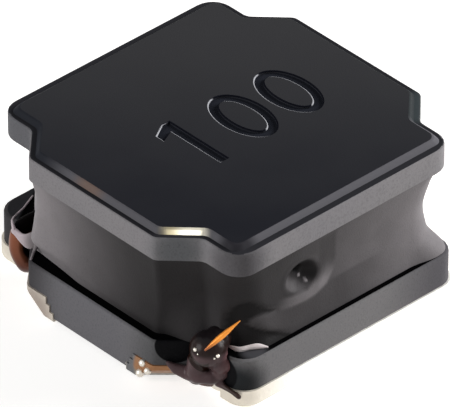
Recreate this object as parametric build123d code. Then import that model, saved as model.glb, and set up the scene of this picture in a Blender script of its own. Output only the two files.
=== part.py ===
# Semi-shielded power inductor for surface mounting, of the 8 by 8 by 4 mm class.
# A ferrite drum core carries a two-layer winding of enamelled wire between its square plates.
# Magnetic resin fills the waist around the winding. The two wire ends come down through the
# notches on one side and lie in grooves in the underside, soldered to the two terminals.
# Millimetres. Z is up, the seating plane is Z 0, X runs along the terminals and Y across them.
from build123d import *
import math
import os

# Lower plate
base_x = 8.0
base_y = 8.0
base_thickness = 1.15
base_edge_round = 0.06
notch_chamfer = 0.42

# Upper plate
top_x = 7.9
top_y = 7.64
top_thickness = 0.6
top_edge_round = 0.03
ledge_width_x = 0.14
ledge_width_y = 0.19
bevel_run = 0.09
bevel_rise = 0.12

# Plan of both plates: each corner is notched, so that wire can pass it
neck_half = 3.2
notch_start = 2.0
notch_end = 2.75
shoulder_radius = 0.22
root_radius = 0.3
tip_radius = 0.5

# Waist between the plates
waist_height = 2.12
post_radius = 1.95

# Wire
wire_diameter = 0.4
wire_gap = 0.02
layer_gap = 0.03
flange_gap = 0.04
corners_per_turn = 8
lead_y = 3.0
lead_bend = 0.36
notch_gap = 0.05
tail_length = 5.8

# Terminals: a thin metal layer that also lines the grooves, with a thicker tinned pad below
plating = 0.04
pad_thickness = 0.04
pad_margin = 0.12
terminal_inner_y = 1.4
end_wrap = 0.41
side_wrap = 0.56
edge_steps = 3
step_height = 0.17
step_width = 0.11
groove_clearance = 0.11
groove_roof_gap = 0.03
wire_floor_gap = 0.02

# Solder around the tails, and its low cone around the foot of each lead
solder_floor = 0.03
cone_foot_radius = 0.38
cone_top_radius = 0.25
cone_height = 0.2

# Brown flux residue around the front lead: an upper lump on the bend, a lower one at its foot
upper_lump_radius = 0.46
upper_lump_z = 1.02
lower_lump_radius = 0.44
lower_lump_z = 0.52
lump_spacing = 0.34

# Resin: at each share of the waist's height, how far it lies inside the plates' outline, on
# the notched sides and on the plain sides, and how its corners are rounded
level_shares = [0.0, 0.12, 0.46, 0.8, 1.0]
notched_insets = [0.36, 0.33, 0.26, 0.14, 0.05]
plain_insets = [0.15, 0.25, 0.35, 0.2, 0.07]
corner_rounds = [0.55, 0.65, 0.75, 0.75, 0.65]
coil_clearance = 0.03

# Bubble mark in the resin's front face
crater_x = -1.12
crater_share = 0.56
crater_radius = 0.52
crater_depth = 0.24
pit_radius = 0.13

# Pressed-in digits on the upper plate
digit_height = 1.85
digit_stroke = 0.21
digit_depth = 0.07
digits_y = -0.1
one_x = -1.0
flag_width = 0.36
flag_drop = 0.22
zero_width = 1.1
first_zero_x = 0.42
second_zero_x = 1.78

# Heights and places that follow from the sizes above
base_bottom = pad_thickness + plating
base_top = base_bottom + base_thickness
top_bottom = base_top + waist_height
top_ledge = top_bottom + top_thickness
top_face = top_ledge + bevel_rise
wire_radius = wire_diameter / 2
groove_half = wire_radius + groove_clearance
groove_wire_z = pad_thickness + wire_floor_gap + wire_radius
groove_roof = groove_wire_z + wire_radius + groove_roof_gap
lead_x = -(neck_half + plating + notch_gap + wire_radius)
inner_coil_radius = post_radius + wire_gap + wire_radius
outer_coil_radius = inner_coil_radius + wire_diameter + layer_gap
far = 2 * (base_x + base_y)


def plate_outline(size_x, size_y, z, inset_x=0.0, inset_y=0.0, tip=tip_radius):
    """Closed outline of a plate with four notched corners, drawn in from the given size."""
    half_x = size_x / 2 - inset_x
    half_y = size_y / 2 - inset_y
    neck = neck_half - inset_x
    slant = math.atan2(size_x / 2 - neck_half, notch_end - notch_start)
    slide = inset_x * math.tan(slant / 2)
    wall = half_y - notch_end + slide - root_radius * math.tan(slant / 2)
    tip = min(tip, 0.95 * wall)
    quarter = [
        (half_x, notch_start - slide, shoulder_radius),
        (neck, notch_end - slide, root_radius),
        (neck, half_y, tip),
    ]
    corners = [(x, y, r) for x, y, r in quarter]
    corners += [(-x, y, r) for x, y, r in reversed(quarter)]
    corners += [(-x, -y, r) for x, y, r in quarter]
    corners += [(x, -y, r) for x, y, r in reversed(quarter)]
    points = [(x, y, z) for x, y, r in corners]
    return FilletPolyline(*points, radius=[r for x, y, r in corners], close=True)


def slab(size_x, size_y, low, high, inset_x=0.0, inset_y=0.0):
    """Upright slab with the notched outline."""
    face = make_face(plate_outline(size_x, size_y, low, inset_x, inset_y))
    return extrude(face, amount=high - low, dir=(0, 0, 1))


def block(low, high):
    """Box between two opposite corners."""
    size = [b - a for a, b in zip(low, high)]
    centre = [(a + b) / 2 for a, b in zip(low, high)]
    return Pos(*centre) * Box(*size)


def rounded_rim(solid, z, radius):
    """Rounds the outer edges of a solid that lie at one height."""
    rim = solid.edges().filter_by_position(Axis.Z, z - 1e-4, z + 1e-4)
    return fillet(rim, radius)


def groove_cutter(side, growth=0.0):
    """Straight groove in the underside, for one wire tail."""
    half = groove_half + growth
    middle = side * lead_y
    return block((-far, middle - half, -far), (far, middle + half, groove_roof + growth))


def notch_chamfers(floor, growth=0.0):
    """Cutters that slope the lower edge of each notch, so that it can't nick the wire."""
    run_x = base_x / 2 - neck_half
    run_y = notch_end - notch_start
    outward = Vector(run_x, -run_y, 0).normalized()
    inward = Vector(-run_y, -run_x, 0).normalized()
    root = Vector(neck_half, notch_end, floor)
    reach = notch_chamfer - growth * math.sqrt(2)
    section = [(-1.0, -1.0), (reach + 1.0, -1.0), (-1.0, reach + 1.0)]
    plane = Plane(origin=root, x_dir=inward, z_dir=outward)
    flip = 1 if plane.y_dir.Z > 0 else -1
    face = make_face(plane * Polyline(*[(a, flip * b) for a, b in section], close=True))
    wedge = extrude(face, amount=2 * math.hypot(run_x, run_y), dir=outward)
    pair = [wedge, mirror(wedge, about=Plane.YZ)]
    return pair + [mirror(one, about=Plane.XZ) for one in pair]


def digit_one():
    """Stem and flag of the digit one, as a flat face."""
    left = one_x - digit_stroke / 2
    right = one_x + digit_stroke / 2
    top = digits_y + digit_height / 2
    foot = digits_y - digit_height / 2
    outline = Polyline(
        (left, foot),
        (right, foot),
        (right, top),
        (left, top),
        (left - flag_width, top - flag_drop),
        (left - flag_width, top - flag_drop - digit_stroke),
        (left, top - 1.25 * digit_stroke),
        close=True,
    )
    return make_face(outline)


def digit_zero(centre_x):
    """Oval ring of the digit zero, as a flat face."""
    outer = Ellipse(zero_width / 2, digit_height / 2)
    inner = Ellipse(zero_width / 2 - digit_stroke, digit_height / 2 - digit_stroke)
    return Pos(centre_x, digits_y) * (outer - inner)


def digits_cutter():
    """The three digits as shallow sunken shapes in the top face."""
    faces = [digit_one(), digit_zero(first_zero_x), digit_zero(second_zero_x)]
    sunk = [extrude(face, amount=2 * digit_depth) for face in faces]
    return [Pos(0, 0, top_face - digit_depth) * shape for shape in sunk]


def drum_core():
    """Ferrite core: lower plate, post and upper plate in one piece."""
    base = slab(base_x, base_y, base_bottom, base_top)
    base = rounded_rim(base, base_top, base_edge_round)
    base = rounded_rim(base, base_bottom, base_edge_round)
    base -= notch_chamfers(base_bottom)
    for side in (-1, 1):
        base -= groove_cutter(side, plating)
    top = slab(top_x, top_y, top_bottom, top_ledge)
    top = rounded_rim(top, top_ledge, top_edge_round)
    crown_x = ledge_width_x + bevel_run
    crown_y = ledge_width_y + bevel_run
    foot = make_face(plate_outline(top_x, top_y, top_ledge, ledge_width_x, ledge_width_y))
    crown = make_face(plate_outline(top_x, top_y, top_face, crown_x, crown_y))
    plateau = loft([foot, crown], ruled=True)
    post = Pos(0, 0, (base_top + top_bottom) / 2) * Cylinder(post_radius, waist_height)
    return base + post + top + plateau - digits_cutter()


def winding_route():
    """Points of the wire's centre line: tail, lead, inner layer, outer layer, lead, tail."""
    low = base_top + flange_gap + wire_radius
    high = top_bottom - flange_gap - wire_radius
    pitch = wire_diameter + flange_gap
    half_turns = math.floor(2 * (high - low) / pitch)
    inner_halves = half_turns if half_turns % 2 else half_turns - 1
    outer_halves = 2 * max(1, (inner_halves - 3) // 2)
    cross_low = low + pitch + wire_gap
    # One entry for each half turn: its radius and height at the end
    climb = (high - low) / inner_halves
    drop = (high - cross_low) / outer_halves
    stages = [(inner_coil_radius, low + climb * (i + 1)) for i in range(inner_halves)]
    stages.append((outer_coil_radius, high))
    stages += [(outer_coil_radius, high - drop * (i + 1)) for i in range(outer_halves)]
    stages.append((outer_coil_radius, low))
    # Corners of the polygon that the round turns are drawn in
    per_half = corners_per_turn // 2
    grow = 1 / math.cos(math.pi / corners_per_turn)
    angle = math.pi / 2 - math.pi / corners_per_turn
    radius, height = inner_coil_radius, low
    coil = []
    for end_radius, end_height in stages:
        for step in range(per_half):
            share = (step + 0.5) / per_half
            r = (radius + (end_radius - radius) * share) * grow
            z = height + (end_height - height) * share
            coil.append((r * math.cos(angle), r * math.sin(angle), z))
            angle -= 2 * math.pi / corners_per_turn
        radius, height = end_radius, end_height
    rear = [
        (lead_x + tail_length, lead_y, groove_wire_z),
        (lead_x, lead_y, groove_wire_z),
        (lead_x, lead_y, low),
    ]
    front = [(x, -y, z) for x, y, z in reversed(rear)]
    return rear + coil + front


def bend_radii(points, largest):
    """Radius of each bend: as large as its two runs allow, up to a limit for that bend."""
    radii = []
    for i in range(1, len(points) - 1):
        before = Vector(*points[i]) - Vector(*points[i - 1])
        after = Vector(*points[i + 1]) - Vector(*points[i])
        turn = math.radians(before.get_angle(after))
        room = 0.49 * min(before.length, after.length) / math.tan(turn / 2)
        radii.append(min(room, largest[i]))
    return radii


def winding():
    """Enamelled wire, in one piece from tail to tail."""
    points = winding_route()
    largest = [far] * len(points)
    for i in (1, 2, len(points) - 3, len(points) - 2):
        largest[i] = lead_bend
    path = FilletPolyline(*points, radius=bend_radii(points, largest))
    start = Plane(origin=path @ 0, z_dir=path % 0)
    wire = sweep(start * Circle(wire_radius), path=path)
    print("wire length", round(path.length, 2), "volume", round(wire.volume, 3))
    print("section times length", round(math.pi * wire_radius**2 * path.length, 3))
    return wire


def resin_size(share):
    """Size of the outline between the two plates at a share of the waist's height."""
    return base_x + (top_x - base_x) * share, base_y + (top_y - base_y) * share


def crater_cutter():
    """Shallow bowl with a small pit, left where a bubble opened in the resin."""
    inset_y, share = max(zip(plain_insets, level_shares))
    surface_y = -(resin_size(share)[1] / 2 - inset_y)
    z = base_top + crater_share * waist_height
    bowl = Pos(crater_x, surface_y - crater_radius + crater_depth, z) * Sphere(crater_radius)
    pit = Pos(crater_x, surface_y + crater_depth, z) * Sphere(pit_radius)
    return bowl + pit


def magnetic_resin(core, wire):
    """Resin with drawn-in sides, filling the waist around the winding."""
    sections = []
    for level in zip(level_shares, notched_insets, plain_insets, corner_rounds):
        share, inset_x, inset_y, tip = level
        size_x, size_y = resin_size(share)
        z = base_top + share * waist_height
        sections.append(make_face(plate_outline(size_x, size_y, z, inset_x, inset_y, tip)))
    coil_radius = outer_coil_radius + wire_radius + coil_clearance
    room = Pos(0, 0, (base_top + top_bottom) / 2) * Cylinder(coil_radius, waist_height)
    return loft(sections) - room - crater_cutter() - core - wire


def pad_outline():
    """Straight-edged outline of the tinned pad on the +Y side's underside."""
    shoulder_x = base_x / 2 - pad_margin
    neck_x = neck_half - pad_margin
    outer_y = base_y / 2 - pad_margin
    low_y = terminal_inner_y - (edge_steps - 1) * step_width
    return Polyline(
        (-shoulder_x, low_y, 0),
        (shoulder_x, low_y, 0),
        (neck_x - notch_chamfer, notch_end - notch_chamfer, 0),
        (neck_x, outer_y - tip_radius / 2, 0),
        (neck_x - tip_radius / 2, outer_y, 0),
        (tip_radius / 2 - neck_x, outer_y, 0),
        (-neck_x, outer_y - tip_radius / 2, 0),
        (notch_chamfer - neck_x, notch_end - notch_chamfer, 0),
        close=True,
    )


def terminal(side, core):
    """Metal layer on one side of the lower plate's underside, edges and groove, with its pad."""
    lowest = pad_thickness
    wrap_top = lowest + side_wrap
    lined_half = groove_half + plating
    grown = slab(base_x, base_y, lowest, wrap_top, -plating, -plating)
    grown = rounded_rim(grown, lowest, base_edge_round)
    grown -= notch_chamfers(base_bottom, plating)
    keep = block((-far, terminal_inner_y, 0), (far, notch_end, wrap_top))
    keep += block((-far, notch_end, 0), (far, far, lowest + end_wrap))
    keep += block(
        (-neck_half, lead_y - lined_half, 0),
        (neck_half, lead_y + lined_half, groove_roof + plating),
    )
    for step in range(1, edge_steps):
        low_y = terminal_inner_y - step * step_width
        step_top = wrap_top - step * step_height
        keep += block((-far, low_y, 0), (far, terminal_inner_y, step_top))
    pad = extrude(make_face(pad_outline()), amount=base_bottom, dir=(0, 0, 1))
    metal = (grown & keep) + pad
    if side < 0:
        metal = mirror(metal, about=Plane.XZ)
    return metal - core - groove_cutter(side)


def solder_joint(side, core, metal, wire):
    """Solder that fills the groove around one tail, with a cone around the foot of the lead."""
    middle = side * lead_y
    bar = block(
        (-neck_half, middle - groove_half, solder_floor),
        (neck_half, middle + groove_half, groove_roof),
    )
    cone_centre = Pos(lead_x, middle, solder_floor + cone_height / 2)
    cone = cone_centre * Cone(cone_foot_radius, cone_top_radius, cone_height)
    return bar + cone - core - metal - wire


def flux_residue(others):
    """Brown residue that clings in two lumps to the front lead and the notch beside it."""
    upper = Pos(lead_x, -lead_y, upper_lump_z) * Sphere(upper_lump_radius)
    lower = Pos(lead_x, lump_spacing - lead_y, lower_lump_z) * Sphere(lower_lump_radius)
    residue = upper + lower
    for other in others:
        residue -= other
    return residue


def main():
    core = drum_core()
    wire = winding()
    resin = magnetic_resin(core, wire)
    parts = {"drum_core": core, "winding": wire, "magnetic_resin": resin}
    for name, side in (("front", -1), ("rear", 1)):
        metal = terminal(side, core)
        parts[name + "_terminal"] = metal
        parts[name + "_solder"] = solder_joint(side, core, metal, wire)
    parts["front_flux_residue"] = flux_residue(list(parts.values()))
    os.makedirs("parts", exist_ok=True)
    for name, shape in parts.items():
        solids = shape.solids()
        export_step(solids[0] if len(solids) == 1 else Compound(solids), f"parts/{name}.step")
        print(name, len(solids), "solids", round(shape.volume, 3), "mm3")


if __name__ == "__main__":
    main()
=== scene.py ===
# %% [markdown]
# A power inductor of the 8 by 8 by 4 mm class, made to be soldered onto a circuit board.
# A black ferrite core holds a coil of enamelled wire between two square plates, grey magnetic
# resin fills the waist round the coil, and two metal layers under the lower plate are its
# terminals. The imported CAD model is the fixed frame: it gives every place and size, and this
# script dresses it. Loading it first means that nothing has to be fitted by eye later.

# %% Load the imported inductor
import math

import bmesh
import bpy
from mathutils import Matrix, Vector, noise


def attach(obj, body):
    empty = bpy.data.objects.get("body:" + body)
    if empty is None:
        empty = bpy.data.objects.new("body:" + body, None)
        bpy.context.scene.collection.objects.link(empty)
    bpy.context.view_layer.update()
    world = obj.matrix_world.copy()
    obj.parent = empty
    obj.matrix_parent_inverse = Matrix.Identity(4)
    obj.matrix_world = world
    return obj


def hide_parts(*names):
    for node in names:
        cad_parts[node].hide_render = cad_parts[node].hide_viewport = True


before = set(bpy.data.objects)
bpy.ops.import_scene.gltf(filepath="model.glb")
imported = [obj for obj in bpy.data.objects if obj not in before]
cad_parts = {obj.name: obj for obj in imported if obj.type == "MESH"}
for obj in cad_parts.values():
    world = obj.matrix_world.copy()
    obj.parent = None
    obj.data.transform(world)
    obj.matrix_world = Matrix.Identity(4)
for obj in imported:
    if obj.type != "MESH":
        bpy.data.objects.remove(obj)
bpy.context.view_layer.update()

print("nodes:", sorted(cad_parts))

# %% [markdown]
# The camera. The photograph looks down on one corner from far away, so the object's edges run
# almost parallel in it. A long lens at 22 cm does the same. The camera could be turned with
# Euler angles, but three axis vectors are easier to check: right, up, and back towards the lens.

# %% Camera
mm = 0.001
view_azimuth = math.radians(-42.902)
view_elevation = math.radians(35.723)
view_distance = 220 * mm
shift_right, shift_up = -0.0135 * mm, 1.5236 * mm
right = Vector((math.cos(view_azimuth), math.sin(view_azimuth), 0))
flat_back = Vector((math.sin(view_azimuth), -math.cos(view_azimuth), 0))
back = flat_back * math.cos(view_elevation) + Vector((0, 0, math.sin(view_elevation)))
up = back.cross(right)


def add_object(name, data):
    """New object in the scene."""
    made = bpy.data.objects.new(name, data)
    bpy.context.scene.collection.objects.link(made)
    return made


camera = add_object("camera", bpy.data.cameras.new("camera"))
bpy.context.scene.camera = camera
camera.matrix_world = Matrix((right, up, back)).transposed().to_4x4()
camera.location = back * view_distance + right * shift_right + up * shift_up
camera.data.lens = 803.35
camera.data.sensor_width = 36
camera.data.clip_start = 0.01
camera.data.clip_end = 5
bpy.context.scene.view_settings.view_transform = "Standard"
print("camera at", [round(v, 4) for v in camera.location])

# %% [markdown]
# Every finish here is a node material. Writing out each node and link by hand makes long cells
# in which the idea is lost. This small kit has one method for each kind of node that the
# finishes share, and each gives back the socket that the next one takes. Sizes are in mm.

# %% A kit for node materials
class Finish:
    """A node material in the making."""

    def __init__(self, name, roughness=0.5, metallic=0.0, specular=0.5):
        self.material = bpy.data.materials.new(name)
        self.material.use_nodes = True
        self.tree = self.material.node_tree
        self.shader = self.tree.nodes["Principled BSDF"]
        self.shader.inputs["Roughness"].default_value = roughness
        self.shader.inputs["Metallic"].default_value = metallic
        self.shader.inputs["Specular IOR Level"].default_value = specular
        scaled = self.node("ShaderNodeVectorMath", operation="SCALE")
        place = self.node("ShaderNodeTexCoord").outputs["Object"]
        self.feed(scaled.inputs["Vector"], place)
        scaled.inputs["Scale"].default_value = 1 / mm
        self.place = scaled.outputs["Vector"]
        split = self.node("ShaderNodeSeparateXYZ")
        self.feed(split.inputs["Vector"], self.place)
        self.x, self.y, self.z = split.outputs

    def node(self, kind, **settings):
        """Adds a node with the given settings."""
        made = self.tree.nodes.new(kind)
        for name, value in settings.items():
            setattr(made, name, value)
        return made

    def feed(self, socket, value):
        """Links a socket into an input, or writes a plain value there."""
        if isinstance(value, bpy.types.NodeSocket):
            self.tree.links.new(value, socket)
        else:
            socket.default_value = value

    def math(self, operation, first, second=0.0):
        """One arithmetic step."""
        made = self.node("ShaderNodeMath", operation=operation)
        self.feed(made.inputs[0], first)
        self.feed(made.inputs[1], second)
        return made.outputs["Value"]

    def rise(self, value, low, high, bottom=0.0, top=1.0):
        """Goes smoothly from bottom to top while the value goes from low to high."""
        made = self.node("ShaderNodeMapRange", interpolation_type="SMOOTHSTEP")
        for name, number in (("From Min", low), ("From Max", high), ("To Min", bottom), ("To Max", top)):
            made.inputs[name].default_value = number
        self.feed(made.inputs["Value"], value)
        return made.outputs["Result"]

    def fall(self, value, low, high):
        """Goes smoothly from 1 to 0 while the value goes from low to high."""
        return self.rise(value, low, high, 1.0, 0.0)

    def grain(self, size, detail=2.0):
        """Noise whose spots are about this size, as a number from 0 to 1."""
        made = self.node("ShaderNodeTexNoise")
        made.inputs["Scale"].default_value = 1 / size
        made.inputs["Detail"].default_value = detail
        self.feed(made.inputs["Vector"], self.place)
        return made.outputs["Fac"]

    def band(self, value, low, high, blur):
        """1 while the value lies between low and high, and 0 beyond the blur outside them."""
        above = self.rise(value, low - blur, low)
        return self.math("MULTIPLY", above, self.fall(value, high, high + blur))

    def reach(self, direction):
        """How far each place lies along a fixed direction, in mm."""
        made = self.node("ShaderNodeVectorMath", operation="DOT_PRODUCT")
        self.feed(made.inputs[0], self.place)
        made.inputs[1].default_value = direction
        return made.outputs["Value"]

    def ball(self, centre, inner, outer):
        """1 inside a ball of the inner radius, falling to 0 at the outer radius."""
        made = self.node("ShaderNodeVectorMath", operation="DISTANCE")
        self.feed(made.inputs[0], self.place)
        made.inputs[1].default_value = centre
        return self.fall(made.outputs["Value"], inner, outer)

    def mix(self, share, first, second):
        """Colour between two others. Each is a socket, or its usual 0 to 255 numbers."""
        made = self.node("ShaderNodeMix", data_type="RGBA")
        self.feed(made.inputs["Factor"], share)
        for socket, colour in ((made.inputs[6], first), (made.inputs[7], second)):
            plain = isinstance(colour, tuple)
            self.feed(socket, (*shade(*colour), 1) if plain else colour)
        return made.outputs[2]

    def stain(self, colour, stains):
        """Covers a colour with soft balls, each with its centre, two radii and own shade."""
        for centre, inner, outer, own in stains:
            colour = self.mix(self.ball(centre, inner, outer), colour, own)
        return colour

    def colour(self, value):
        """Sets the surface's colour."""
        self.feed(self.shader.inputs["Base Color"], value)

    def roughness(self, value):
        """Sets how blurred the surface's reflections are."""
        self.feed(self.shader.inputs["Roughness"], value)

    def bump(self, height, depth):
        """Raises the surface by the height, where 1 is the given depth in mm."""
        made = self.node("ShaderNodeBump")
        made.inputs["Strength"].default_value = 1.0
        made.inputs["Distance"].default_value = depth * mm
        self.feed(made.inputs["Height"], height)
        self.feed(self.shader.inputs["Normal"], made.outputs["Normal"])


def shade(red, green, blue):
    """Colour as a shader takes it, from the usual 0 to 255 numbers."""
    steps = [v / 255 for v in (red, green, blue)]
    return tuple(v / 12.92 if v < 0.04045 else ((v + 0.055) / 1.055) ** 2.4 for v in steps)


print("mid grey 128 is", [round(v, 3) for v in shade(128, 128, 128)])

# %% [markdown]
# The floor and the light. A small black part is shown on a pale floor, in soft light from all
# sides, with a large lamp to the right that draws its edges and two weaker ones. A white
# background could come from strong lamps, but they would bleach the part. So the floor and the
# sky show white only to the camera and in reflections, and light the part at a plain level.

# %% Floor, sky and lamps
lamp_target = Vector((0, 0, 2))


def seen_directly(tree):
    """1 for rays from the camera and for reflected or refracted ones, otherwise 0."""
    path = tree.nodes.new("ShaderNodeLightPath")
    total = path.outputs["Is Camera Ray"]
    for name in ("Is Glossy Ray", "Is Transmission Ray"):
        either = tree.nodes.new("ShaderNodeMath")
        either.operation = "MAXIMUM"
        tree.links.new(total, either.inputs[0])
        tree.links.new(path.outputs[name], either.inputs[1])
        total = either.outputs["Value"]
    return total


def light_sky(level_of_light):
    """White sky to look at, and a dimmer one to light with."""
    world = bpy.data.worlds.new("studio")
    bpy.context.scene.world = world
    world.use_nodes = True
    tree = world.node_tree
    sky = tree.nodes["Background"]
    level = tree.nodes.new("ShaderNodeMapRange")
    level.inputs["To Min"].default_value = level_of_light
    level.inputs["To Max"].default_value = 1.0
    tree.links.new(seen_directly(tree), level.inputs["Value"])
    tree.links.new(level.outputs["Result"], sky.inputs["Strength"])
    sky.inputs["Color"].default_value = (1, 1, 1, 1)


def lay_floor(size, glow):
    """Pale floor that keeps a soft shadow and shows almost white."""
    bpy.ops.mesh.primitive_plane_add(size=size)
    floor = bpy.context.object
    floor.name = "floor"
    finish = Finish("pale_floor", roughness=0.9, specular=0.1)
    finish.colour(finish.mix(finish.grain(12.0), (240, 238, 234), (246, 244, 241)))
    finish.shader.inputs["Emission Color"].default_value = (1, 1, 1, 1)
    shown = finish.math("MULTIPLY", seen_directly(finish.tree), glow)
    finish.feed(finish.shader.inputs["Emission Strength"], shown)
    floor.data.materials.append(finish.material)


def hang_lamp(name, azimuth, elevation, distance, size, power):
    """Square soft lamp that faces the part's middle. Azimuth 0 is the -Y side, 90 is +X."""
    lamp = add_object(name, bpy.data.lights.new(name, "AREA"))
    turn, lift = math.radians(azimuth), math.radians(elevation)
    level = math.cos(lift)
    away = Vector((math.sin(turn) * level, -math.cos(turn) * level, math.sin(lift)))
    lamp.location = (lamp_target + away * distance) * mm
    lamp.rotation_euler = away.to_track_quat("Z", "Y").to_euler()
    lamp.data.size = size * mm
    lamp.data.energy = power


lamps = [
    # name, azimuth and elevation in degrees, distance and size in mm, power in watts
    ("right_lamp", 62, 24, 90, 46, 0.105),
    ("left_lamp", -108, 22, 80, 40, 0.038),
    ("front_lamp", -47, 38, 100, 10, 0.002),
]
light_sky(level_of_light=0.12)
lay_floor(size=0.3, glow=0.62)
for lamp in lamps:
    hang_lamp(*lamp)

# %% [markdown]
# Both plates have the same plan: a square with a notch at each corner, so that wire can pass
# down the side. One function draws that outline with a fixed number of points, whatever its
# size or inset. Rings with equal counts can then be joined point to point into walls, which
# gives clean quads and lets a wall lean, round over or change shape on its way up.

# %% Outline of the plates
neck_half = 3.2
notch_start, notch_end = 2.0, 2.75
shoulder_radius, root_radius, tip_radius = 0.22, 0.3, 0.5
base_x, base_y = 8.0, 8.0
top_x, top_y = 7.9, 7.64
base_bottom, base_top = 0.08, 1.23
top_bottom, top_ledge, top_face = 3.35, 3.95, 4.07
post_radius = 1.95


def corner_arc(before, corner, after, radius, steps):
    """Points of the arc that rounds one corner of an outline."""
    to_before = (before - corner).normalized()
    to_after = (after - corner).normalized()
    half = to_before.angle(to_after) / 2
    middle = corner + (to_before + to_after).normalized() * radius / math.sin(half)
    first = corner + to_before * radius / math.tan(half) - middle
    last = corner + to_after * radius / math.tan(half) - middle
    sweep = first.angle_signed(last)
    return [middle + Matrix.Rotation(-sweep * i / steps, 2) @ first for i in range(steps + 1)]


def plate_outline(size_x, size_y, inset_x=0.0, inset_y=0.0, tip=tip_radius, step=0.25, arc=6):
    """Notched square, counter-clockwise, as flat points. The step sets how far apart they are."""
    slant = math.atan2(size_x / 2 - neck_half, notch_end - notch_start)
    slide = inset_x * math.tan(slant / 2)
    half_x, half_y = size_x / 2 - inset_x, size_y / 2 - inset_y
    neck = neck_half - inset_x
    wall = half_y - notch_end + slide - root_radius * math.tan(slant / 2)
    tip = min(tip, 0.95 * wall)
    quarter = [
        (half_x, notch_start - slide, shoulder_radius),
        (neck, notch_end - slide, root_radius),
        (neck, half_y, tip),
    ]
    corners = quarter + [(-x, y, r) for x, y, r in reversed(quarter)]
    corners += [(-x, -y, r) for x, y, r in quarter]
    corners += [(x, -y, r) for x, y, r in reversed(quarter)]
    places = [Vector((x, y)) for x, y, r in corners]
    arcs = []
    for i, (x, y, radius) in enumerate(corners):
        following = places[(i + 1) % len(places)]
        arcs.append(corner_arc(places[i - 1], places[i], following, radius, arc))
    # About how long each run between two arcs is, in the order that repeats on each half
    runs = [0.6, 0.35, 5.4, 0.35, 0.6, 3.8] * 2
    outline = []
    for i, points in enumerate(arcs):
        outline += points
        count = max(2, round(runs[i] / step))
        start, end = points[-1], arcs[(i + 1) % len(arcs)][0]
        outline += [start.lerp(end, k / count) for k in range(1, count)]
    return outline


def at_height(outline, z):
    """Ring of points at one height."""
    return [Vector((p.x, p.y, z)) for p in outline]


def round_like(ring, radius, z):
    """Circle with one point below or above each point of a ring."""
    return [Vector((p.x, p.y, 0)).normalized() * radius + Vector((0, 0, z)) for p in ring]


print("points in one plate outline:", len(plate_outline(base_x, base_y)))

# %% [markdown]
# A mesh from rings: each ring is joined to the next, and the first and last are either capped
# with one face or joined to each other when the shape has a hole through it. Smooth shading
# is cut off at real edges by their angle, so that flat faces stay flat next to round rims.

# %% Meshes from rings
def shade_piece(mesh, sharp_degrees):
    """Smooth shading, cut off at edges that are sharper than the angle."""
    mesh.shade_smooth()
    mesh.set_sharp_from_angle(angle=math.radians(sharp_degrees))


def finished_mesh(piece):
    """Mesh of an object as its modifiers or its bevel leave it."""
    graph = bpy.context.evaluated_depsgraph_get()
    return bpy.data.meshes.new_from_object(piece.evaluated_get(graph))


def settle(piece):
    """Turns what a piece's modifiers do into its own mesh."""
    mesh = finished_mesh(piece)
    piece.modifiers.clear()
    piece.data = mesh


def make_piece(name, points, faces, sharp_degrees=32):
    """Mesh object from points in mm."""
    mesh = bpy.data.meshes.new(name)
    mesh.from_pydata([p * mm for p in points], [], faces)
    shell = bmesh.new()
    shell.from_mesh(mesh)
    bmesh.ops.recalc_face_normals(shell, faces=shell.faces)
    shell.to_mesh(mesh)
    shell.free()
    shade_piece(mesh, sharp_degrees)
    return add_object(name, mesh)


def join_rings(rings, closed=False):
    """Points and faces of a wall through all rings. A closed one goes back to the first."""
    count = len(rings[0])
    points = [p for ring in rings for p in ring]
    faces = []
    for level in range(len(rings) if closed else len(rings) - 1):
        low = level * count
        high = (level + 1) % len(rings) * count
        for i in range(count):
            j = (i + 1) % count
            faces.append((low + i, low + j, high + j, high + i))
    if not closed:
        faces.append(tuple(reversed(range(count))))
        faces.append(tuple(range(len(points) - count, len(points))))
    return points, faces


def cut(piece, cutters):
    """Takes the cutters out of the piece, and removes them from the scene."""
    for cutter in cutters:
        change = piece.modifiers.new("cut", "BOOLEAN")
        change.operation = "DIFFERENCE"
        change.solver = "EXACT"
        change.object = cutter
    settle(piece)
    for cutter in cutters:
        bpy.data.objects.remove(cutter)


print("a wall of three rings of four points has", len(join_rings([[0] * 4] * 3)[1]), "faces")

# %% [markdown]
# The ferrite core is one fired piece: a lower plate, a round post and an upper plate. Its long
# outer edges are slightly rounded by tumbling, and the upper plate steps back to a raised
# field that is ground flat. A stack of rings follows that profile from the underside up.

# %% Ferrite core: the body
base_round, top_round, crown_round = 0.06, 0.03, 0.025
crown_tip_radius = 0.22
ledge_x, ledge_y, bevel_run = 0.14, 0.19, 0.09


def rim(size_x, size_y, z, radius, upward, steps=3):
    """Rings of a rounded outer edge that ends at height z, in order from bottom to top."""
    rings = []
    for i in range(steps + 1):
        angle = math.pi / 2 * i / steps
        near, far = radius * (1 - math.cos(angle)), radius * (1 - math.sin(angle))
        inward, height = (near, z - far) if upward else (far, z + near)
        rings.append(at_height(plate_outline(size_x, size_y, inward, inward), height))
    return rings


def core_rings():
    """Rings of the core's outside, from its underside to the raised field."""
    rings = rim(base_x, base_y, base_bottom, base_round, upward=False)
    rings += rim(base_x, base_y, base_top, base_round, upward=True)
    rings.append(round_like(rings[-1], post_radius, base_top))
    rings.append(round_like(rings[-1], post_radius, top_bottom))
    rings += rim(top_x, top_y, top_bottom, top_round, upward=False)
    rings += rim(top_x, top_y, top_ledge, top_round, upward=True)
    # The bevel: straight at first, then rounded over its last part
    for share in (0.0, 0.7, 0.8, 0.93, 1.0):
        rounded = max(0.0, (share - 0.8) / 0.2)
        run = bevel_run * share + crown_round * (1 - math.sqrt(1 - rounded**2))
        outline = plate_outline(top_x, top_y, ledge_x + run, ledge_y + run, crown_tip_radius)
        rings.append(at_height(outline, top_ledge + (top_face - top_ledge) * share))
    return rings


core = make_piece("ferrite_core", *join_rings(core_rings()))
print("core:", len(core.data.vertices), "points")

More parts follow.
